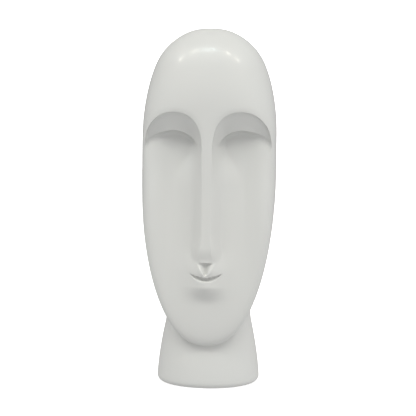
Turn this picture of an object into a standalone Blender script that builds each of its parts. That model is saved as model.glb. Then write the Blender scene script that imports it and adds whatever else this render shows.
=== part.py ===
"""A tall abstract face on a flared neck, cast as one hollow piece and glazed white all over.

The surface is described by formulas in the face's own frame: +Z up, the face towards -Y,
the underside flat on Z = 0. A sphere's rings and columns are sent out from an upright spine
inside the plain head and neck until they meet its surface, with rings along the brows, the
lids and the jaw. The carving then moves the front back or forward, straight along Y.
"""
import math

import bmesh
import bpy
import numpy as np

# Overall sizes, in metres
HEIGHT = 0.421
HEAD_WIDTH = 0.1585
FOREHEAD_FRONT = 0.0615         # from the spine to the forehead
CHIN_FRONT = 0.0605
SKULL_BACK = 0.064
NAPE_BACK = 0.062

# The neck, from its waist under the head down to the foot it stands on
WAIST_WIDTH = 0.1018
WAIST_DEPTH = 0.086
BASE_WIDTH = 0.1230
BASE_DEPTH = 0.110
BASE_EDGE = 0.0065              # rounding where the foot meets the ground
JAW_CREASE = 0.0006             # softness of the crease between chin and neck
NAPE_BLEND = 0.022              # softness of the same joint behind

# Heights, as shares of the whole height
WIDE_TOP = 0.7028 * HEIGHT      # the head is widest between these two
WIDE_LOW = 0.6036 * HEIGHT
JAW_END = 0.1192 * HEIGHT
WAIST = 0.1796 * HEIGHT
BROW_TOP = 0.7656 * HEIGHT
LID_TOP = 0.7162 * HEIGHT
EYE_CORNER = 0.6827 * HEIGHT
BRIDGE = 0.6651 * HEIGHT
NOSE_TIP = 0.3961 * HEIGHT
NOSE_FOOT = 0.3522 * HEIGHT
MOUTH = 0.3148 * HEIGHT
CHIN_TOP = 0.2374 * HEIGHT      # where the hollow under the lower lip is deepest

# Places and widths across, from the middle, as shares of half the head's width
HALF = HEAD_WIDTH / 2
EYE_MIDDLE = 0.498 * HALF
BROW_REACH = 0.4225 * HALF      # half the width of each brow's arch
LID_INNER = 0.331 * HALF        # from the middle of the eye to the lid's inner end
NOSE_RIDGE = 0.060 * HALF
NOSE_WING = 0.028 * HALF        # how much wider the ridge gets at the tip
NOSE_SIDE = 0.170 * HALF        # how far its sides run out
MOUTH_REACH = 0.245 * HALF
MUZZLE_REACH = 0.220 * HALF
PHILTRUM = 0.074 * HALF         # from the middle to the ridges under the nose

# Depths of the carving
BROW_SHOULDER = 0.0010
BROW_DROP = 0.0036              # the steep step just under the brow's edge
BROW_SLOPE = 0.45               # how the eyelid leans back below that step
BROW_RUN = 0.016                # how far in from the brow's edge that lean takes hold
LID_FALL = 0.0110               # how fast the surface falls away below the lid's edge
LID_EDGE = 0.0012               # the same for the sharp step right at the edge
LID_PIT = 0.0022                # how much deeper it is just under that edge
PIT_RUN = 0.0032                # from the edge to the deepest place
CHEEK_DEPTH = 0.0290            # at the height of the lids
NOSE_STAND = 0.0085
TIP_ROUNDING = 0.0042           # how far the tip leans back before it meets the lip
MUZZLE_STAND = 0.0098
LIP_TUCK = 0.0012               # how far the upper lip rolls back towards the mouth's line
LIP_HEIGHT = 0.0070
LIP_DIP = 0.0016                # how far the middle of the upper lip hangs down
MOUTH_RISE = 0.0036             # how far the corners turn up
MOUTH_GAP = 0.0034
MOUTH_DEPTH = 0.0054
LOWER_LIP_BACK = 0.0008         # the lower lip lies this far behind the upper one
PHILTRUM_DEPTH = 0.0060

AROUND = 64                     # columns round the head; a multiple of 4


def ease(t):
    """0 below 0, 1 above 1, with a soft run between."""
    t = np.clip(t, 0.0, 1.0)
    return t * t * (3.0 - 2.0 * t)


def quarter(t):
    """Rises from 0 to 1 like a quarter circle, steep at the start."""
    t = np.clip(t, 0.0, 1.0)
    return np.sqrt(t * (2.0 - t))


def blend(value, low, high, at_low, at_high):
    return at_low + (at_high - at_low) * ease((value - low) / (high - low))


def bump(x, width):
    return np.exp(-(x / width) ** 2)


def soft_smaller(a, b, softness):
    overlap = np.maximum(softness - np.abs(a - b), 0.0)
    return np.minimum(a, b) - overlap ** 2 / (4.0 * softness)


def higher(a, b, power=4.0):
    """The larger of two heights, rounded where they cross and still 0 where both are 0."""
    return (a ** power + b ** power) ** (1.0 / power)


def head_value(x, y, z):
    """Below 0 inside the plain head, before any carving."""
    above = np.maximum((z - WIDE_TOP) / (HEIGHT - WIDE_TOP), 0.0)
    below = np.maximum((WIDE_LOW - z) / (WIDE_LOW - JAW_END), 0.0)
    power = blend(z, WIDE_LOW, WIDE_TOP, 2.26, 2.85) - blend(z, 0.90 * HEIGHT, HEIGHT, 0.0, 0.45)
    outline = (np.abs(x) / HALF) ** power + (above + below) ** 2
    middle = blend(z, JAW_END, WIDE_TOP, -0.3, 0.0) * FOREHEAD_FRONT
    front = middle + blend(z, JAW_END, WIDE_TOP, CHIN_FRONT, FOREHEAD_FRONT)
    back = blend(z, JAW_END, WIDE_TOP, NAPE_BACK, SKULL_BACK) - middle
    ahead = y < middle
    flatter = blend(z, WIDE_LOW, 0.88 * HEIGHT, 3.6, 2.2) + blend(z, JAW_END, 0.60 * HEIGHT, 9.0, 0.0)
    section = np.where(ahead, flatter, 2.2)
    reach = np.where(ahead, front, back)
    return (outline ** (section / 2) + (np.abs(y - middle) / reach) ** section) ** (1 / section) - 1.0


def head_distance(x, y, z):
    """The same as a rough distance in metres."""
    step = 1e-4
    here = head_value(x, y, z)
    slope_x = head_value(x + step, y, z) - here
    slope_y = head_value(x, y + step, z) - here
    slope_z = head_value(x, y, z + step) - here
    return here * step / np.sqrt(slope_x ** 2 + slope_y ** 2 + slope_z ** 2 + 1e-12)


def neck_ring(x, y, z):
    """1 on the neck's surface and less inside it."""
    rise = np.clip(z / WAIST, 0.0, 1.5) ** 1.6
    edge = BASE_EDGE * (1.0 - quarter(z / BASE_EDGE))
    half_width = (BASE_WIDTH + (WAIST_WIDTH - BASE_WIDTH) * rise) / 2 - edge
    half_depth = (BASE_DEPTH + (WAIST_DEPTH - BASE_DEPTH) * rise) / 2 - edge
    return ((np.abs(x) / half_width) ** 2.1 + (np.abs(y) / half_depth) ** 2.1) ** (1 / 2.1)


def neck_distance(x, y, z):
    away = np.sqrt(x * x + y * y) * (1.0 - 1.0 / np.maximum(neck_ring(x, y, z), 1e-6))
    return np.maximum(away, z - 2 * WAIST)


def plain_distance(x, y, z):
    """Below 0 inside the head and neck before any carving."""
    softness = blend(y, -0.75 * CHIN_FRONT, 0.75 * CHIN_FRONT, JAW_CREASE, NAPE_BLEND)
    return soft_smaller(head_distance(x, y, z), neck_distance(x, y, z), softness)


class Arch:
    """A line over one eye, from the side of the nose up and over to the outer corner."""

    def __init__(self, top, inner_foot, outer_foot, inner_reach, outer_reach, inner_power, outer_power):
        self.top = top
        self.inner = (inner_foot, inner_reach, inner_power)
        self.outer = (outer_foot, outer_reach, outer_power)

    def leg(self, side):
        near_nose = side < EYE_MIDDLE
        return [np.where(near_nose, inner, outer) for inner, outer in zip(self.inner, self.outer)]

    def height(self, side):
        foot, reach, power = self.leg(side)
        across = np.clip(np.abs(side - EYE_MIDDLE) / reach, 0.0, 1.0)
        return foot + (self.top - foot) * (1.0 - across ** power) ** (1.0 / power)

    def within(self, side, z):
        """How far a place lies under the line; below 0 outside it."""
        foot, reach, power = self.leg(side)
        rise = self.top - foot
        across = np.abs(side - EYE_MIDDLE) / reach
        up = np.maximum((z - foot) / rise, 0.0)
        ring = np.maximum((across ** power + up ** power) ** (1.0 / power), 1e-3)
        slope = np.hypot(across ** (power - 1) / reach, up ** (power - 1) / rise) / ring ** (power - 1)
        return np.minimum((1.0 - ring) / np.maximum(slope, 20.0), self.top - z)


BROW = Arch(BROW_TOP, BRIDGE, EYE_CORNER, BROW_REACH, BROW_REACH, 2.30, 2.00)
LID = Arch(LID_TOP, 0.985 * EYE_CORNER, EYE_CORNER, LID_INNER, 0.995 * BROW_REACH, 1.8, 1.55)


def eyelid(side, z):
    """The step back under the brow's edge, softer beside the nose, and the lid leaning back below."""
    in_brow = BROW.within(side, z)
    lowered = ease(2 * (BROW_TOP - z) / (BROW_TOP - EYE_CORNER))
    near_nose = lowered * ease((EYE_MIDDLE - side) / (0.6 * BROW_REACH))
    shoulder = BROW_SHOULDER * np.clip(1.0 + in_brow / (6 * BROW_SHOULDER), 0.0, 1.0) ** 2
    step = BROW_DROP * quarter(in_brow / (BROW_DROP * (1.0 + 2.5 * near_nose)))
    hold = 1.0 - (1.0 - np.clip(in_brow / BROW_RUN, 0.0, 1.0)) ** 2
    return shoulder + step + BROW_SLOPE * np.maximum(BROW_TOP - z, 0.0) * hold


def ridge_half(z):
    """Half the width of the flat band down the nose."""
    return (NOSE_RIDGE + blend(z, 0.8 * BRIDGE, BRIDGE, 0.0, 0.25 * NOSE_RIDGE)
            + NOSE_WING * ease((1.10 * NOSE_TIP - z) / (0.18 * NOSE_TIP)))


def flank(side, z):
    """1 at the foot of the nose's hollow flank, 0 on its ridge, and with no edge to it below the nose."""
    run = blend(z, 0.85 * BRIDGE, 1.02 * BRIDGE, 0.50, 0.20) * HALF
    t = np.clip((side - ridge_half(z)) / run, 0.0, 1.0)
    return blend(z, MOUTH, NOSE_TIP, ease(side / (1.2 * run)), 1.0 - (1.0 - t) ** 2)


def cheek(side, z):
    """The long hollow from the eyes to the jaw: it ends at an edge beside the eye, softly below."""
    across = side / HALF
    down = np.clip((z - JAW_END) / (LID_TOP - JAW_END), 0.0, 1.2)
    edged = 1.0 - (1.0 - np.clip((0.975 - across) / 0.575, 0.0, 1.0)) ** 2
    soft = 1.0 - ease((across - 0.52) / 0.44)
    outward = blend(z, 0.75 * EYE_CORNER, 1.02 * EYE_CORNER, soft, edged)
    return CHEEK_DEPTH * down ** 1.8 * outward * flank(side, z)


def hollow(side, z):
    """The eyelid down to its edge, then a fall that settles on the cheek's depth."""
    lid = eyelid(side, z)
    under_corner = np.maximum(EYE_CORNER - z, 0.0)
    in_lid = np.maximum(LID.within(side, z), 0.0)
    fallen = in_lid + under_corner ** 2 / (under_corner + LID_FALL)
    left = 0.60 * np.exp(-fallen / LID_EDGE) + 0.40 * np.exp(-fallen / LID_FALL)
    pit = LID_PIT * in_lid / PIT_RUN * np.exp(1.0 - in_lid / PIT_RUN)
    above_corner = blend(z, 0.965 * EYE_CORNER, 1.02 * EYE_CORNER, 0.0, 1.0)
    return cheek(side, z) + (lid - cheek(side, z)) * left + pit * above_corner


def nose(side, z):
    down = np.clip((BROW_TOP - z) / (BROW_TOP - NOSE_TIP), 0.0, 1.0)
    under = np.clip((NOSE_TIP - z) / (NOSE_TIP - NOSE_FOOT), 0.0, 1.0)
    crest = NOSE_STAND * down ** 1.2 - TIP_ROUNDING * under ** 2
    side_fall = 1.0 - ease((side - ridge_half(z)) / NOSE_SIDE)
    return crest * side_fall * (1.0 - ease(2.0 * (NOSE_FOOT - z) / (NOSE_FOOT - MOUTH)))


def muzzle(side, z):
    """The swelling that carries the lips, from the nose to the hollow above the chin."""
    lip_end = MOUTH - 0.3 * (MOUTH - CHIN_TOP)
    lower = ease(np.clip((z - CHIN_TOP) / (lip_end - CHIN_TOP), 0.0, 1.0) ** 1.25)
    upper = 1.0 - ease((z - MOUTH - LIP_HEIGHT) / (NOSE_TIP - MOUTH - LIP_HEIGHT))
    return MUZZLE_STAND * bump(side, MUZZLE_REACH) * lower * upper


def mouth(x, z):
    """How far back the upper lip's roll, the gap and the lower lip lie."""
    across = np.clip(np.abs(x) / MOUTH_REACH, 0.0, 1.0)
    full = 1.0 - across ** 2
    line = MOUTH + LIP_DIP * (1.0 - bump(x, 0.22 * MOUTH_REACH)) + MOUTH_RISE * across ** 3
    foot = MOUTH - MOUTH_GAP + (MOUTH_GAP + LIP_DIP + MOUTH_RISE) * across ** 2.2
    lip_top = MOUTH + LIP_HEIGHT * (1.0 - 0.2 * bump(x, 0.13 * MOUTH_REACH) - 0.2 * across ** 2)
    below = (line - z) / np.maximum(line - foot, 0.3 * MOUTH_GAP)
    upper = LIP_TUCK * full * ease((lip_top - z) / LIP_HEIGHT) * (1.0 - ease(2.0 * below))
    gap = MOUTH_DEPTH * full * quarter(4.0 * below) * (1.0 - ease((below - 0.6) / 0.8))
    lower = LOWER_LIP_BACK * full * ease(below) * ease((z - CHIN_TOP) / (MOUTH - CHIN_TOP))
    return upper + gap + lower


def philtrum(x, z):
    """The groove between two soft ridges under the nose: wide above, narrowing down to the lip."""
    lip_top = MOUTH + 0.4 * LIP_HEIGHT
    rise = np.clip((z - lip_top) / (NOSE_FOOT - lip_top), 0.0, 1.0)
    deep = (1.0 - (1.0 - rise) ** 6) * (1.3 - 0.3 * rise)
    channel = PHILTRUM_DEPTH * deep * (1.0 - ease((z - NOSE_FOOT) / (0.35 * LIP_HEIGHT)))
    half_width = PHILTRUM * (0.20 + 0.80 * rise)
    return channel * (bump(x, half_width) - 0.12 * bump(np.abs(x) - 1.6 * half_width, 0.4 * PHILTRUM))


def carving(x, z):
    """How far the plain front is moved back at each place seen from the front."""
    side = np.abs(x)
    return hollow(side, z) - higher(nose(side, z), muzzle(side, z)) + mouth(x, z) + philtrum(x, z)


def cast(start, slope, turn):
    """Where rays from the spine meet the plain surface. A turn of 0 looks along -Y."""
    start, slope, turn = np.broadcast_arrays(start, slope, turn)
    ray_x = np.sin(turn) * np.cos(slope)
    ray_y = -np.cos(turn) * np.cos(slope)
    ray_z = np.sin(slope)
    near = np.zeros(start.shape)
    far = np.full(start.shape, HEAD_WIDTH)
    for _ in range(22):
        middle = (near + far) / 2
        solid = plain_distance(ray_x * middle, ray_y * middle, start + ray_z * middle) < 0.0
        near = np.where(solid, middle, near)
        far = np.where(solid, far, middle)
    return np.stack([ray_x * far, ray_y * far, start + ray_z * far], axis=-1)


def along(line):
    """A guide that runs just above a line seen from the front, found from above."""
    def heights(turn, start):
        z = start
        for _ in range(18):
            hit = cast(z, 0.0, turn)
            side = np.where(hit[:, 1] > 0.0, HALF, np.abs(hit[:, 0]))
            z = (line(side) + z) / 2
        return line(side)
    return heights


def brow_line(side):
    return BROW.height(side) + 0.0003


def lid_line(side):
    """Drops beside the nose, and keeps clear of the brow at both ends."""
    inward = 1.0 - ease(side / (EYE_MIDDLE - LID_INNER))
    return np.minimum(LID.height(side) + 0.0003 - 0.010 * inward, BROW.height(side) - 0.0030)


def under_lid_line(side):
    inward = 1.0 - ease(side / (EYE_MIDDLE - LID_INNER))
    return (LID.height(side) + EYE_CORNER) / 2 - 0.012 - 0.008 * inward


def level(height):
    return lambda turn, start: np.full(turn.shape, height)


def jaw(above):
    """A guide at a given height above the crease where the head meets the neck."""
    def heights(turn, start):
        low = np.full(turn.shape, JAW_END)
        high = np.full(turn.shape, MOUTH)
        for _ in range(22):
            z = (low + high) / 2
            reach = 1.0 / neck_ring(np.sin(turn), -np.cos(turn), z)
            covered = head_value(np.sin(turn) * reach, -np.cos(turn) * reach, z) < 0.0
            high = np.where(covered, z, high)
            low = np.where(covered, low, z)
        return z + above
    return heights


# Rings over the crown, down to this slope of their rays
CROWN_RINGS = 10
CROWN_SLOPE = 20.0
CROWN_CENTRE = 0.82 * HEIGHT

# From there down: rings, the guide that the last of them follows, and how they crowd,
# above 1 towards the line they start from and below 1 towards their own
BANDS = (
    (6, along(brow_line), 0.8),
    (6, along(lid_line), 1.6),
    (6, along(under_lid_line), 1.5),
    (3, level(0.595 * HEIGHT), 1.0),
    (8, level(0.400 * HEIGHT), 1.0),
    (18, level(0.285 * HEIGHT), 1.0),
    (7, jaw(0.018), 1.0),
    (5, jaw(0.0), 0.7),
    (3, level(0.095 * HEIGHT), 1.3),
    (3, level(BASE_EDGE), 1.0),
    (3, level(0.0), 0.6),
)


def sculpt(columns, finer=1):
    """Points of every ring from just under the crown to the rim of the underside."""
    place = np.arange(columns) / (columns / 2) - 1.0
    turn = math.pi * (0.38 * place + 0.62 * place ** 3)
    slopes = np.radians(np.linspace(90.0, CROWN_SLOPE, CROWN_RINGS * finer + 1)[1:])
    rings = [cast(CROWN_CENTRE, slopes[:, None], turn)]
    start = rings[0][-1, :, 2]
    for count, guide, crowding in BANDS:
        end = guide(turn, start)
        share = np.arange(1, count * finer + 1) / (count * finer)
        rings.append(cast(start + (end - start) * share[:, None] ** crowding, 0.0, turn))
        start = end
    points = np.concatenate(rings)
    x, y, z = np.moveaxis(points, -1, 0)
    points[..., 1] += carving(x, z) * ease(-y / (0.33 * FOREHEAD_FRONT))
    return points


def build(name, columns, finer=1):
    points = sculpt(columns, finer)
    rings = len(points)
    form = bmesh.new()
    bmesh.ops.create_uvsphere(form, u_segments=columns, v_segments=rings + 1, radius=1.0)
    for vert in form.verts:
        ring = round(math.acos(max(-1.0, min(1.0, vert.co.z))) / math.pi * (rings + 1))
        column = round((math.atan2(vert.co.x, -vert.co.y) / math.pi + 1.0) * columns / 2) % columns
        if ring == 0:
            vert.co = (0.0, 0.0, HEIGHT)
        elif ring == rings + 1:
            vert.co = (0.0, 0.0, 0.0)
        else:
            vert.co = points[ring - 1, column]
    mesh = bpy.data.meshes.new(name)
    form.to_mesh(mesh)
    form.free()
    mesh.shade_smooth()
    mesh.set_sharp_from_angle(angle=math.radians(50.0))
    return bpy.data.objects.new(name, mesh)


def glaze(name):
    material = bpy.data.materials.new(name)
    material.use_nodes = True
    shader = material.node_tree.nodes["Principled BSDF"]
    shader.inputs["Base Color"].default_value = (0.627, 0.631, 0.610, 1.0)
    shader.inputs["Roughness"].default_value = 0.28
    shader.inputs["Metallic"].default_value = 0.0
    return material


for old in list(bpy.data.objects):
    bpy.data.objects.remove(old, do_unlink=True)

collection = bpy.data.collections.new("abstract_face_sculpture")
bpy.context.scene.collection.children.link(collection)
face = build("face_sculpture", AROUND)
face.data.materials.append(glaze("white_glaze"))
collection.objects.link(face)
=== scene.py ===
"""A tall abstract face on a flared neck, glazed white all over, on a pale floor.

The fine surface follows the same formulas as the solid that it replaces: rings and columns
are sent out from an upright spine inside the plain head and neck until they meet its surface,
and the carving then moves the front back or forward, straight along Y.
"""
import math

import bmesh
import bpy
import numpy as np
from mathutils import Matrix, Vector


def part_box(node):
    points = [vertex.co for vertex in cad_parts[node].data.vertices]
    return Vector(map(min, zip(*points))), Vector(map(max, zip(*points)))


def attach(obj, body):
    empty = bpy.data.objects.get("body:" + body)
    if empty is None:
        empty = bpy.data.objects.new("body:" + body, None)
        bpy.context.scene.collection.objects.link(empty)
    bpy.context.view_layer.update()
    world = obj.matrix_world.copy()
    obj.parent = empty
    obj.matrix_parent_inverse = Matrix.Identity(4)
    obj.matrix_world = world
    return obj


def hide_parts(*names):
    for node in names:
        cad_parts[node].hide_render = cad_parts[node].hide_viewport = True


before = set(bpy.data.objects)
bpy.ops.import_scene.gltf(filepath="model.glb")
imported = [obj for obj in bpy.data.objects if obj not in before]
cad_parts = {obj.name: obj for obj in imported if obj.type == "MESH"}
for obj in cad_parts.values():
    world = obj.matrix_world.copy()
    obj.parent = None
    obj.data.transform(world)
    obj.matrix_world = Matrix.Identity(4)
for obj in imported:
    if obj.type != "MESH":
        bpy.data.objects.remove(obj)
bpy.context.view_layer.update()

# Overall sizes, in metres
LOW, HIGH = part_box("face_sculpture")
HEIGHT = HIGH.z
HEAD_WIDTH = HIGH.x - LOW.x
FOREHEAD_FRONT = 0.0615         # from the spine to the forehead
CARVING_RUN = 0.33 * FOREHEAD_FRONT  # in front of the spine, where the carving takes hold
CHIN_FRONT = 0.0605
SKULL_BACK = 0.064
NAPE_BACK = 0.062

# The neck, from its waist under the head down to the foot it stands on
WAIST_WIDTH = 0.1018
WAIST_DEPTH = 0.086
BASE_WIDTH = 0.1230
BASE_DEPTH = 0.110
BASE_EDGE = 0.0065              # rounding where the foot meets the ground
JAW_CREASE = 0.0006             # softness of the crease between chin and neck
NAPE_BLEND = 0.022              # softness of the same joint behind
JOINT_TURN = 0.75 * CHIN_FRONT  # the crease turns into that joint over this depth each way
FLARE_POWER = 1.6               # 1 narrows evenly upwards, more keeps the foot wide for longer
NECK_POWER = 2.1                # the neck's section: 2 is an ellipse, more is squarer

# Heights, as shares of the whole height
WIDE_TOP = 0.7028 * HEIGHT      # the head is widest between these two
WIDE_LOW = 0.6036 * HEIGHT
JAW_END = 0.1192 * HEIGHT
WAIST = 0.1796 * HEIGHT
BROW_TOP = 0.7656 * HEIGHT
LID_TOP = 0.7162 * HEIGHT
EYE_CORNER = 0.6827 * HEIGHT
BRIDGE = 0.6651 * HEIGHT
NOSE_TIP = 0.3961 * HEIGHT
NOSE_FOOT = 0.3522 * HEIGHT
MOUTH = 0.3148 * HEIGHT
CHIN_TOP = 0.2374 * HEIGHT      # where the hollow under the lower lip is deepest

# The head's roundness and where it changes: 2 is an ellipse and more is squarer
ROUND_BELOW = 2.26              # seen from the front, below the widest part
ROUND_ABOVE = 2.85              # and above it
CROWN_SOFTER = 0.45             # taken off that at the top of the crown
CROWN_SOFTER_FROM = 0.90 * HEIGHT
SECTION_BEHIND = 2.2            # seen from above, behind the spine and at the crown
SECTION_FACE = 3.6              # in front of it, at the face
SECTION_JAW = 9.0               # added to that towards the jaw's end
SECTION_CROWN = 0.88 * HEIGHT   # where the section is the same in front as behind
SECTION_MIDDLE = 0.60 * HEIGHT  # where what the jaw adds has run out
JAW_FORWARD = 0.3               # the middle lies this share of the front further forward there

# Places and widths across, from the middle, as shares of half the head's width
HALF = HEAD_WIDTH / 2
EYE_MIDDLE = 0.498 * HALF
BROW_REACH = 0.4225 * HALF      # half the width of each brow's arch
LID_INNER = 0.331 * HALF        # from the middle of the eye to the lid's inner end
NOSE_RIDGE = 0.060 * HALF
NOSE_WING = 0.028 * HALF        # how much wider the ridge gets at the tip
NOSE_SIDE = 0.170 * HALF        # how far its sides run out
MOUTH_REACH = 0.245 * HALF
MUZZLE_REACH = 0.220 * HALF
PHILTRUM = 0.074 * HALF         # from the middle to the ridges under the nose
CHEEK_RIM = 0.975               # where the cheek's hollow ends beside the eye, as a share
RIM_RUN = 0.575                 # how far in from there it takes to settle
JAW_RIM = 0.52                  # where it starts to fade lower down
JAW_RIM_RUN = 0.44
FLANK_BELOW = 0.50              # how far the nose's hollow flank runs out
FLANK_ABOVE = 0.20              # and beside the eyes

# Depths of the carving
BROW_SHOULDER = 0.0010
BROW_DROP = 0.0036              # the steep step just under the brow's edge
BROW_SLOPE = 0.45               # how the eyelid leans back below that step
BROW_RUN = 0.016                # how far in from the brow's edge that lean takes hold
LID_FALL = 0.0110               # how fast the surface falls away below the lid's edge
LID_EDGE = 0.0012               # the same for the sharp step right at the edge
LID_PIT = 0.0022                # how much deeper it is just under that edge
PIT_RUN = 0.0032                # from the edge to the deepest place
CHEEK_DEPTH = 0.0290            # at the height of the lids
NOSE_STAND = 0.0085
TIP_ROUNDING = 0.0042           # how far the tip leans back before it meets the lip
MUZZLE_STAND = 0.0098
LIP_TUCK = 0.0012               # how far the upper lip rolls back towards the mouth's line
LIP_HEIGHT = 0.0070
LIP_DIP = 0.0016                # how far the middle of the upper lip hangs down
MOUTH_RISE = 0.0036             # how far the corners turn up
MOUTH_GAP = 0.0034
MOUTH_DEPTH = 0.0054
LOWER_LIP_BACK = 0.0008         # the lower lip lies this far behind the upper one
PHILTRUM_DEPTH = 0.0060
EDGE_SHARE = 0.60               # the share of the fall below the lid that is at its sharp edge
CHEEK_POWER = 1.8               # how late the cheek deepens on the way up
CREST_POWER = 1.2               # how late the nose's crest stands out on the way down
RIDGE_SHARE = 0.12              # how high the groove's ridges stand, against its depth
HIGHER_POWER = 4.0              # how tightly the nose and the muzzle are rounded together


def ease(t):
    """0 below 0, 1 above 1, with a soft run between."""
    t = np.clip(t, 0.0, 1.0)
    return t * t * (3.0 - 2.0 * t)


def quarter(t):
    """Rises from 0 to 1 like a quarter circle, steep at the start."""
    t = np.clip(t, 0.0, 1.0)
    return np.sqrt(t * (2.0 - t))


def blend(value, low, high, at_low, at_high):
    return at_low + (at_high - at_low) * ease((value - low) / (high - low))


def bump(x, width):
    return np.exp(-(x / width) ** 2)


def soft_smaller(a, b, softness):
    overlap = np.maximum(softness - np.abs(a - b), 0.0)
    return np.minimum(a, b) - overlap ** 2 / (4.0 * softness)


def higher(a, b):
    """The larger of two heights, rounded where they cross and still 0 where both are 0."""
    return (a ** HIGHER_POWER + b ** HIGHER_POWER) ** (1.0 / HIGHER_POWER)


def head_value(x, y, z):
    """Below 0 inside the plain head, before any carving."""
    above = np.maximum((z - WIDE_TOP) / (HEIGHT - WIDE_TOP), 0.0)
    below = np.maximum((WIDE_LOW - z) / (WIDE_LOW - JAW_END), 0.0)
    power = (blend(z, WIDE_LOW, WIDE_TOP, ROUND_BELOW, ROUND_ABOVE)
             - blend(z, CROWN_SOFTER_FROM, HEIGHT, 0.0, CROWN_SOFTER))
    outline = (np.abs(x) / HALF) ** power + (above + below) ** 2
    middle = blend(z, JAW_END, WIDE_TOP, -JAW_FORWARD, 0.0) * FOREHEAD_FRONT
    front = middle + blend(z, JAW_END, WIDE_TOP, CHIN_FRONT, FOREHEAD_FRONT)
    back = blend(z, JAW_END, WIDE_TOP, NAPE_BACK, SKULL_BACK) - middle
    ahead = y < middle
    flatter = (blend(z, WIDE_LOW, SECTION_CROWN, SECTION_FACE, SECTION_BEHIND)
               + blend(z, JAW_END, SECTION_MIDDLE, SECTION_JAW, 0.0))
    section = np.where(ahead, flatter, SECTION_BEHIND)
    reach = np.where(ahead, front, back)
    return (outline ** (section / 2) + (np.abs(y - middle) / reach) ** section) ** (1 / section) - 1.0


def head_distance(x, y, z):
    """The same as a rough distance in metres."""
    step = 1e-4
    here = head_value(x, y, z)
    slope_x = head_value(x + step, y, z) - here
    slope_y = head_value(x, y + step, z) - here
    slope_z = head_value(x, y, z + step) - here
    return here * step / np.sqrt(slope_x ** 2 + slope_y ** 2 + slope_z ** 2 + 1e-12)


def neck_ring(x, y, z):
    """1 on the neck's surface and less inside it."""
    rise = np.clip(z / WAIST, 0.0, 1.5) ** FLARE_POWER
    edge = BASE_EDGE * (1.0 - quarter(z / BASE_EDGE))
    half_width = (BASE_WIDTH + (WAIST_WIDTH - BASE_WIDTH) * rise) / 2 - edge
    half_depth = (BASE_DEPTH + (WAIST_DEPTH - BASE_DEPTH) * rise) / 2 - edge
    wide = (np.abs(x) / half_width) ** NECK_POWER
    deep = (np.abs(y) / half_depth) ** NECK_POWER
    return (wide + deep) ** (1 / NECK_POWER)


def neck_distance(x, y, z):
    away = np.sqrt(x * x + y * y) * (1.0 - 1.0 / np.maximum(neck_ring(x, y, z), 1e-6))
    return np.maximum(away, z - 2 * WAIST)


def plain_distance(x, y, z):
    """Below 0 inside the head and neck before any carving."""
    softness = blend(y, -JOINT_TURN, JOINT_TURN, JAW_CREASE, NAPE_BLEND)
    return soft_smaller(head_distance(x, y, z), neck_distance(x, y, z), softness)


class Arch:
    """A line over one eye, from the side of the nose up and over to the outer corner."""

    def __init__(self, top, inner_foot, outer_foot, inner_reach, outer_reach, inner_power, outer_power):
        self.top = top
        self.inner = (inner_foot, inner_reach, inner_power)
        self.outer = (outer_foot, outer_reach, outer_power)

    def leg(self, side):
        near_nose = side < EYE_MIDDLE
        return [np.where(near_nose, inner, outer) for inner, outer in zip(self.inner, self.outer)]

    def height(self, side):
        foot, reach, power = self.leg(side)
        across = np.clip(np.abs(side - EYE_MIDDLE) / reach, 0.0, 1.0)
        return foot + (self.top - foot) * (1.0 - across ** power) ** (1.0 / power)

    def within(self, side, z):
        """How far a place lies under the line; below 0 outside it."""
        foot, reach, power = self.leg(side)
        rise = self.top - foot
        across = np.abs(side - EYE_MIDDLE) / reach
        up = np.maximum((z - foot) / rise, 0.0)
        ring = np.maximum((across ** power + up ** power) ** (1.0 / power), 1e-3)
        slope = np.hypot(across ** (power - 1) / reach, up ** (power - 1) / rise) / ring ** (power - 1)
        return np.minimum((1.0 - ring) / np.maximum(slope, 20.0), self.top - z)


BROW = Arch(BROW_TOP, BRIDGE, EYE_CORNER, BROW_REACH, BROW_REACH, 2.30, 2.00)
LID = Arch(LID_TOP, 0.985 * EYE_CORNER, EYE_CORNER, LID_INNER, 0.995 * BROW_REACH, 1.8, 1.55)


def eyelid(side, z):
    """The step back under the brow's edge, softer beside the nose, and the lid leaning back below."""
    in_brow = BROW.within(side, z)
    lowered = ease(2 * (BROW_TOP - z) / (BROW_TOP - EYE_CORNER))
    near_nose = lowered * ease((EYE_MIDDLE - side) / (0.6 * BROW_REACH))
    shoulder = BROW_SHOULDER * np.clip(1.0 + in_brow / (6 * BROW_SHOULDER), 0.0, 1.0) ** 2
    step = BROW_DROP * quarter(in_brow / (BROW_DROP * (1.0 + 2.5 * near_nose)))
    hold = 1.0 - (1.0 - np.clip(in_brow / BROW_RUN, 0.0, 1.0)) ** 2
    return shoulder + step + BROW_SLOPE * np.maximum(BROW_TOP - z, 0.0) * hold


def ridge_half(z):
    """Half the width of the flat band down the nose."""
    return (NOSE_RIDGE + blend(z, 0.8 * BRIDGE, BRIDGE, 0.0, 0.25 * NOSE_RIDGE)
            + NOSE_WING * ease((1.10 * NOSE_TIP - z) / (0.18 * NOSE_TIP)))


def flank(side, z):
    """1 at the foot of the nose's hollow flank and 0 on its ridge, with no edge below the nose."""
    run = blend(z, 0.85 * BRIDGE, 1.02 * BRIDGE, FLANK_BELOW, FLANK_ABOVE) * HALF
    t = np.clip((side - ridge_half(z)) / run, 0.0, 1.0)
    return blend(z, MOUTH, NOSE_TIP, ease(side / (1.2 * run)), 1.0 - (1.0 - t) ** 2)


def cheek(side, z):
    """The long hollow from the eyes to the jaw: it ends at an edge beside the eye, softly below."""
    across = side / HALF
    down = np.clip((z - JAW_END) / (LID_TOP - JAW_END), 0.0, 1.2)
    edged = 1.0 - (1.0 - np.clip((CHEEK_RIM - across) / RIM_RUN, 0.0, 1.0)) ** 2
    soft = 1.0 - ease((across - JAW_RIM) / JAW_RIM_RUN)
    outward = blend(z, 0.75 * EYE_CORNER, 1.02 * EYE_CORNER, soft, edged)
    return CHEEK_DEPTH * down ** CHEEK_POWER * outward * flank(side, z)


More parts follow.
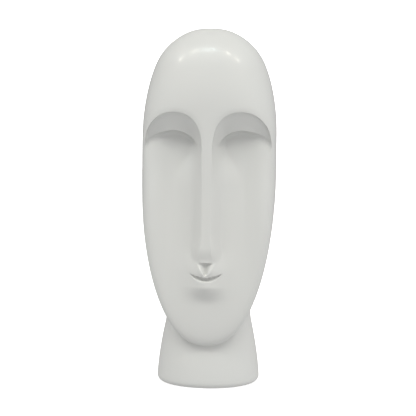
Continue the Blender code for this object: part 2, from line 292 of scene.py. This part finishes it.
def hollow(side, z):
    """The eyelid down to its edge, then a fall that settles on the cheek's depth."""
    lid = eyelid(side, z)
    under_corner = np.maximum(EYE_CORNER - z, 0.0)
    in_lid = np.maximum(LID.within(side, z), 0.0)
    fallen = in_lid + under_corner ** 2 / (under_corner + LID_FALL)
    left = EDGE_SHARE * np.exp(-fallen / LID_EDGE) + (1.0 - EDGE_SHARE) * np.exp(-fallen / LID_FALL)
    pit = LID_PIT * in_lid / PIT_RUN * np.exp(1.0 - in_lid / PIT_RUN)
    above_corner = blend(z, 0.965 * EYE_CORNER, 1.02 * EYE_CORNER, 0.0, 1.0)
    return cheek(side, z) + (lid - cheek(side, z)) * left + pit * above_corner


def nose(side, z):
    down = np.clip((BROW_TOP - z) / (BROW_TOP - NOSE_TIP), 0.0, 1.0)
    under = np.clip((NOSE_TIP - z) / (NOSE_TIP - NOSE_FOOT), 0.0, 1.0)
    crest = NOSE_STAND * down ** CREST_POWER - TIP_ROUNDING * under ** 2
    side_fall = 1.0 - ease((side - ridge_half(z)) / NOSE_SIDE)
    return crest * side_fall * (1.0 - ease(2.0 * (NOSE_FOOT - z) / (NOSE_FOOT - MOUTH)))


def muzzle(side, z):
    """The swelling that carries the lips, from the nose to the hollow above the chin."""
    lip_end = MOUTH - 0.3 * (MOUTH - CHIN_TOP)
    lower = ease(np.clip((z - CHIN_TOP) / (lip_end - CHIN_TOP), 0.0, 1.0) ** 1.25)
    upper = 1.0 - ease((z - MOUTH - LIP_HEIGHT) / (NOSE_TIP - MOUTH - LIP_HEIGHT))
    return MUZZLE_STAND * bump(side, MUZZLE_REACH) * lower * upper


def mouth(x, z):
    """How far back the upper lip's roll, the gap and the lower lip lie."""
    across = np.clip(np.abs(x) / MOUTH_REACH, 0.0, 1.0)
    full = 1.0 - across ** 2
    line = MOUTH + LIP_DIP * (1.0 - bump(x, 0.22 * MOUTH_REACH)) + MOUTH_RISE * across ** 3
    foot = MOUTH - MOUTH_GAP + (MOUTH_GAP + LIP_DIP + MOUTH_RISE) * across ** 2.2
    lip_top = MOUTH + LIP_HEIGHT * (1.0 - 0.2 * bump(x, 0.13 * MOUTH_REACH) - 0.2 * across ** 2)
    below = (line - z) / np.maximum(line - foot, 0.3 * MOUTH_GAP)
    upper = LIP_TUCK * full * ease((lip_top - z) / LIP_HEIGHT) * (1.0 - ease(2.0 * below))
    gap = MOUTH_DEPTH * full * quarter(4.0 * below) * (1.0 - ease((below - 0.6) / 0.8))
    lower = LOWER_LIP_BACK * full * ease(below) * ease((z - CHIN_TOP) / (MOUTH - CHIN_TOP))
    return upper + gap + lower


def philtrum(x, z):
    """The groove between two soft ridges under the nose: wide above, narrowing down to the lip."""
    lip_top = MOUTH + 0.4 * LIP_HEIGHT
    rise = np.clip((z - lip_top) / (NOSE_FOOT - lip_top), 0.0, 1.0)
    deep = (1.0 - (1.0 - rise) ** 6) * (1.3 - 0.3 * rise)
    channel = PHILTRUM_DEPTH * deep * (1.0 - ease((z - NOSE_FOOT) / (0.35 * LIP_HEIGHT)))
    half_width = PHILTRUM * (0.20 + 0.80 * rise)
    ridges = RIDGE_SHARE * bump(np.abs(x) - 1.6 * half_width, 0.4 * PHILTRUM)
    return channel * (bump(x, half_width) - ridges)


def carving(x, z):
    """How far the plain front is moved back at each place seen from the front."""
    side = np.abs(x)
    return hollow(side, z) - higher(nose(side, z), muzzle(side, z)) + mouth(x, z) + philtrum(x, z)


# How often the searches below halve their gap or come nearer their line
HALVINGS = 22
SETTLINGS = 18


def cast(start, slope, turn):
    """Where rays from the spine meet the plain surface. A turn of 0 looks along -Y."""
    start, slope, turn = np.broadcast_arrays(start, slope, turn)
    ray_x = np.sin(turn) * np.cos(slope)
    ray_y = -np.cos(turn) * np.cos(slope)
    ray_z = np.sin(slope)
    near = np.zeros(start.shape)
    far = np.full(start.shape, HEAD_WIDTH)
    for _ in range(HALVINGS):
        middle = (near + far) / 2
        solid = plain_distance(ray_x * middle, ray_y * middle, start + ray_z * middle) < 0.0
        near = np.where(solid, middle, near)
        far = np.where(solid, far, middle)
    return np.stack([ray_x * far, ray_y * far, start + ray_z * far], axis=-1)


def along(line):
    """A guide that runs just above a line seen from the front, found from above."""
    def heights(turn, start):
        z = start
        for _ in range(SETTLINGS):
            hit = cast(z, 0.0, turn)
            side = np.where(hit[:, 1] > 0.0, HALF, np.abs(hit[:, 0]))
            z = (line(side) + z) / 2
        return line(side)
    return heights


LINE_CLEAR = 0.0003             # how far above the brow's and the lid's edge their guides run
BROW_CLEAR = 0.0030             # how far the lid's guide keeps below the brow
LID_GUIDE_DROP = 0.010          # how far the lid's guide drops beside the nose
UNDER_LID = 0.012               # how far the next guide runs below the middle of the lid
UNDER_LID_DROP = 0.008          # and how much further beside the nose


def brow_line(side):
    return BROW.height(side) + LINE_CLEAR


def lid_line(side):
    """Drops beside the nose, and keeps clear of the brow at both ends."""
    inward = 1.0 - ease(side / (EYE_MIDDLE - LID_INNER))
    return np.minimum(LID.height(side) + LINE_CLEAR - LID_GUIDE_DROP * inward,
                      BROW.height(side) - BROW_CLEAR)


def under_lid_line(side):
    inward = 1.0 - ease(side / (EYE_MIDDLE - LID_INNER))
    return (LID.height(side) + EYE_CORNER) / 2 - UNDER_LID - UNDER_LID_DROP * inward


def level(height):
    return lambda turn, start: np.full(turn.shape, height)


def jaw(above):
    """A guide at a given height above the crease where the head meets the neck."""
    def heights(turn, start):
        low = np.full(turn.shape, JAW_END)
        high = np.full(turn.shape, MOUTH)
        for _ in range(HALVINGS):
            z = (low + high) / 2
            reach = 1.0 / neck_ring(np.sin(turn), -np.cos(turn), z)
            covered = head_value(np.sin(turn) * reach, -np.cos(turn) * reach, z) < 0.0
            high = np.where(covered, z, high)
            low = np.where(covered, low, z)
        return z + above
    return heights


# Columns round the head, and how many times as many rings as the solid has
COLUMNS = 256
FINER = 3
EVEN_COLUMNS = 0.38             # the share of even spacing; the rest crowds them to the front
SHARP_ANGLE = math.radians(50.0)

# Rings over the crown, down to this slope of their rays
CROWN_RINGS = 10
CROWN_SLOPE = 20.0
CROWN_CENTRE = 0.82 * HEIGHT

# From there down: rings, the guide that the last of them follows, and how they crowd,
# above 1 towards the line they start from and below 1 towards their own
BANDS = (
    (6, along(brow_line), 0.8),
    (6, along(lid_line), 1.6),
    (6, along(under_lid_line), 1.5),
    (3, level(0.595 * HEIGHT), 1.0),
    (8, level(0.400 * HEIGHT), 1.0),
    (18, level(0.285 * HEIGHT), 1.0),
    (7, jaw(0.018), 1.0),
    (5, jaw(0.0), 0.7),
    (3, level(0.095 * HEIGHT), 1.3),
    (3, level(BASE_EDGE), 1.0),
    (3, level(0.0), 0.6),
)


def sculpt():
    """Points of every ring from just under the crown to the rim of the underside."""
    place = np.arange(COLUMNS) / (COLUMNS / 2) - 1.0
    turn = math.pi * (EVEN_COLUMNS * place + (1.0 - EVEN_COLUMNS) * place ** 3)
    slopes = np.radians(np.linspace(90.0, CROWN_SLOPE, CROWN_RINGS * FINER + 1)[1:])
    rings = [cast(CROWN_CENTRE, slopes[:, None], turn)]
    start = rings[0][-1, :, 2]
    for count, guide, crowding in BANDS:
        end = guide(turn, start)
        share = np.arange(1, count * FINER + 1) / (count * FINER)
        rings.append(cast(start + (end - start) * share[:, None] ** crowding, 0.0, turn))
        start = end
    points = np.concatenate(rings)
    x, y, z = np.moveaxis(points, -1, 0)
    points[..., 1] += carving(x, z) * ease(-y / CARVING_RUN)
    return points


def build(name):
    """A sphere whose points are moved to the sculpted ones, ring by ring."""
    points = sculpt()
    rings = len(points)
    form = bmesh.new()
    bmesh.ops.create_uvsphere(form, u_segments=COLUMNS, v_segments=rings + 1, radius=1.0)
    for vert in form.verts:
        ring = round(math.acos(max(-1.0, min(1.0, vert.co.z))) / math.pi * (rings + 1))
        column = round((math.atan2(vert.co.x, -vert.co.y) / math.pi + 1.0) * COLUMNS / 2) % COLUMNS
        if ring == 0:
            vert.co = (0.0, 0.0, HEIGHT)
        elif ring == rings + 1:
            vert.co = (0.0, 0.0, 0.0)
        else:
            vert.co = points[ring - 1, column]
    mesh = bpy.data.meshes.new(name)
    form.to_mesh(mesh)
    form.free()
    mesh.shade_smooth()
    mesh.set_sharp_from_angle(angle=SHARP_ANGLE)
    return bpy.data.objects.new(name, mesh)


# The glaze: two tones close to each other, its gloss and how far that wanders, a clear coat
# and a faint ripple
GLAZE_WARM = (0.630, 0.633, 0.610, 1.0)
GLAZE_COOL = (0.624, 0.629, 0.610, 1.0)
GLAZE_ROUGHNESS = 0.31
ROUGHNESS_WANDER = 0.012
COAT_WEIGHT = 0.30
COAT_ROUGHNESS = 0.13
RIPPLE_STRENGTH = 0.05
RIPPLE_HEIGHT = 0.0003

# Each noise's scale and detail, and the part of its range that runs from one value to the other
TONE_NOISE = (7.0, 1.0)
GLOSS_NOISE = (20.0, 2.0)
RIPPLE_NOISE = (45.0, 2.0)
NOISE_LOW = 0.3
NOISE_HIGH = 0.7

# The light from the studio's walls by height, from straight down at 0 through level at 0.5
# to straight up at 1
WALL_STOPS = ((0.0, 0.60), (0.40, 0.57), (0.50, 0.48), (0.70, 0.50), (0.87, 0.55), (0.95, 0.48))
WALL_LEAN = (0.12, -0.12, 0.0)  # brighter to the right and in front
SIDE_WALLS = (0.28, 0.0, 0.0)   # and this much brighter on both sides than in front and behind

# Each lamp's turn to the right, its rise above level and its strength: broad ones high in front
# and one low behind, too soft to show in the glaze, and a row of small ones that do, the middle
# one of them cooler than the rest
BROAD_LAMPS = ((-60.0, 52.0, 0.53), (-20.0, 52.0, 0.34), (20.0, 52.0, 0.19), (60.0, 52.0, 0.46),
               (180.0, 8.0, 1.20))
BROAD_SPREAD = 24.0
WARM_LAMPS = ((-50.0, 50.0, 0.13), (-28.0, 62.0, 0.13), (24.0, 61.0, 0.14), (43.0, 52.0, 0.13))
COOL_LAMPS = ((-7.0, 64.0, 0.12),)
SMALL_SPREAD = 6.0
WHITE = (1.0, 1.0, 1.0)
WARM = (1.0, 0.96, 0.82)
COOL = (0.82, 1.0, 1.0)

# The floor and the backdrop: their sizes, their paint and how much each glows
FLOOR_SIZE = 12.0
FLOOR_GLOW = 0.45
BACKDROP_RADIUS = 5.0
BACKDROP_HEIGHT = 8.0
BACKDROP_SIDES = 96
BACKDROP_GLOW = 1.0
PAINT = (0.95, 0.95, 0.95, 1.0)
PAINT_ROUGHNESS = 0.9

# The camera: a little right of the middle and level with the brows
CAMERA_DISTANCE = 1.3
CAMERA_TURN = math.radians(3.5)
CAMERA_HEIGHT = 0.32
CAMERA_ROLL = math.radians(0.5)
CAMERA_TARGET = (-0.0019, 0.0, 0.2077)
CAMERA_LENS = 94.1
CAMERA_SENSOR = 36.0
CAMERA_NEAR = 0.05


def wavering(nodes, links, grain, low, high):
    """Noise over the surface that runs from one value to the other and a little past both."""
    place = nodes.new("ShaderNodeTexCoord")
    noise = nodes.new("ShaderNodeTexNoise")
    noise.inputs["Scale"].default_value, noise.inputs["Detail"].default_value = grain
    spread = nodes.new("ShaderNodeMapRange")
    spread.clamp = False
    spread.inputs["From Min"].default_value = NOISE_LOW
    spread.inputs["From Max"].default_value = NOISE_HIGH
    spread.inputs["To Min"].default_value = low
    spread.inputs["To Max"].default_value = high
    links.new(place.outputs["Object"], noise.inputs["Vector"])
    links.new(noise.outputs["Fac"], spread.inputs["Value"])
    return spread.outputs["Result"]


def white_glaze():
    """A smooth white glaze, a little uneven in tone and gloss, with a faint ripple."""
    material = bpy.data.materials.new("white_glaze")
    material.use_nodes = True
    nodes, links = material.node_tree.nodes, material.node_tree.links
    shader = nodes["Principled BSDF"]
    tone = nodes.new("ShaderNodeValToRGB")
    tone.color_ramp.elements[0].color = GLAZE_WARM
    tone.color_ramp.elements[1].color = GLAZE_COOL
    links.new(wavering(nodes, links, TONE_NOISE, 0.0, 1.0), tone.inputs["Fac"])
    links.new(tone.outputs["Color"], shader.inputs["Base Color"])
    gloss = wavering(nodes, links, GLOSS_NOISE, GLAZE_ROUGHNESS - ROUGHNESS_WANDER,
                     GLAZE_ROUGHNESS + ROUGHNESS_WANDER)
    links.new(gloss, shader.inputs["Roughness"])
    ripple = nodes.new("ShaderNodeBump")
    ripple.inputs["Strength"].default_value = RIPPLE_STRENGTH
    ripple.inputs["Distance"].default_value = RIPPLE_HEIGHT
    links.new(wavering(nodes, links, RIPPLE_NOISE, 0.0, 1.0), ripple.inputs["Height"])
    links.new(ripple.outputs["Normal"], shader.inputs["Normal"])
    shader.inputs["Metallic"].default_value = 0.0
    shader.inputs["Coat Weight"].default_value = COAT_WEIGHT
    shader.inputs["Coat Roughness"].default_value = COAT_ROUGHNESS
    return material


def pale(name, glow):
    """Matt white paint with a glow of its own."""
    material = bpy.data.materials.new(name)
    material.use_nodes = True
    shader = material.node_tree.nodes["Principled BSDF"]
    shader.inputs["Base Color"].default_value = PAINT
    shader.inputs["Roughness"].default_value = PAINT_ROUGHNESS
    shader.inputs["Emission Color"].default_value = (1.0, 1.0, 1.0, 1.0)
    shader.inputs["Emission Strength"].default_value = glow
    return material


def link(thing):
    bpy.context.scene.collection.objects.link(thing)
    return thing


def aimed(name, data, place, target):
    thing = link(bpy.data.objects.new(name, data))
    thing.location = place
    thing.rotation_euler = (Vector(target) - Vector(place)).to_track_quat("-Z", "Y").to_euler()
    return thing


def studio_world():
    """Light from all round, by height, and brighter from some sides."""
    world = bpy.data.worlds.new("studio")
    bpy.context.scene.world = world
    world.use_nodes = True
    nodes, links = world.node_tree.nodes, world.node_tree.links
    place = nodes.new("ShaderNodeTexCoord")
    parts = nodes.new("ShaderNodeSeparateXYZ")
    links.new(place.outputs["Generated"], parts.inputs["Vector"])
    height = nodes.new("ShaderNodeMapRange")
    height.inputs["From Min"].default_value = -1.0
    links.new(parts.outputs["Z"], height.inputs["Value"])
    walls = nodes.new("ShaderNodeValToRGB")
    stops = walls.color_ramp.elements
    for number, (position, value) in enumerate(WALL_STOPS):
        stop = stops[0] if number == 0 else stops.new(position)
        stop.position = position
        stop.color = (value, value, value, 1.0)
    stops.remove(stops[-1])
    links.new(height.outputs["Result"], walls.inputs["Fac"])
    lean = nodes.new("ShaderNodeVectorMath")
    lean.operation = "MULTIPLY_ADD"
    lean.inputs[1].default_value = SIDE_WALLS
    lean.inputs[2].default_value = WALL_LEAN
    links.new(place.outputs["Generated"], lean.inputs[0])
    turned = nodes.new("ShaderNodeVectorMath")
    turned.operation = "DOT_PRODUCT"
    links.new(place.outputs["Generated"], turned.inputs[0])
    links.new(lean.outputs["Vector"], turned.inputs[1])
    strength = nodes.new("ShaderNodeMath")
    strength.operation = "ADD"
    links.new(walls.outputs["Color"], strength.inputs[0])
    links.new(turned.outputs["Value"], strength.inputs[1])
    nodes["Background"].inputs["Color"].default_value = (1.0, 1.0, 1.0, 1.0)
    links.new(strength.outputs["Value"], nodes["Background"].inputs["Strength"])


def lamps(name, places, spread, colour, in_glaze):
    """A lamp for each turn, rise and strength, which shows in the glaze or doesn't."""
    for number, (turn, rise, strength) in enumerate(places, 1):
        lamp = bpy.data.lights.new(f"{name}_{number}", "SUN")
        lamp.energy = strength
        lamp.color = colour
        lamp.angle = math.radians(spread)
        turn, rise = math.radians(turn), math.radians(rise)
        towards = (math.sin(turn) * math.cos(rise), -math.cos(turn) * math.cos(rise), math.sin(rise))
        aimed(lamp.name, lamp, towards, (0.0, 0.0, 0.0)).visible_glossy = in_glaze


face = link(build("glazed_face"))
face.data.materials.append(white_glaze())
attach(face, "root")
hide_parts("face_sculpture")

# The camera alone sees the white floor and the round white backdrop. They neither light nor
# shade the face: its light comes from the world and the lamps.
bpy.ops.mesh.primitive_plane_add(size=FLOOR_SIZE)
floor = bpy.context.object
floor.name = "floor"
floor.data.materials.append(pale("pale_floor", FLOOR_GLOW))
bpy.ops.mesh.primitive_cylinder_add(vertices=BACKDROP_SIDES, radius=BACKDROP_RADIUS,
                                    depth=BACKDROP_HEIGHT, end_fill_type="NOTHING")
backdrop = bpy.context.object
backdrop.name = "backdrop"
backdrop.data.materials.append(pale("pale_backdrop", BACKDROP_GLOW))
for stage in (floor, backdrop):
    stage.visible_diffuse = False
    stage.visible_glossy = False
    stage.visible_shadow = False

studio_world()
lamps("broad_lamp", BROAD_LAMPS, BROAD_SPREAD, WHITE, False)
lamps("warm_lamp", WARM_LAMPS, SMALL_SPREAD, WARM, True)
lamps("cool_lamp", COOL_LAMPS, SMALL_SPREAD, COOL, True)

camera_data = bpy.data.cameras.new("camera")
camera_data.lens = CAMERA_LENS
camera_data.sensor_width = CAMERA_SENSOR
camera_data.clip_start = CAMERA_NEAR
camera_place = (CAMERA_DISTANCE * math.sin(CAMERA_TURN),
                -CAMERA_DISTANCE * math.cos(CAMERA_TURN), CAMERA_HEIGHT)
camera = aimed("camera", camera_data, camera_place, CAMERA_TARGET)
camera.rotation_euler.rotate_axis("Z", CAMERA_ROLL)
bpy.context.scene.camera = camera
bpy.context.scene.view_settings.view_transform = "Standard"
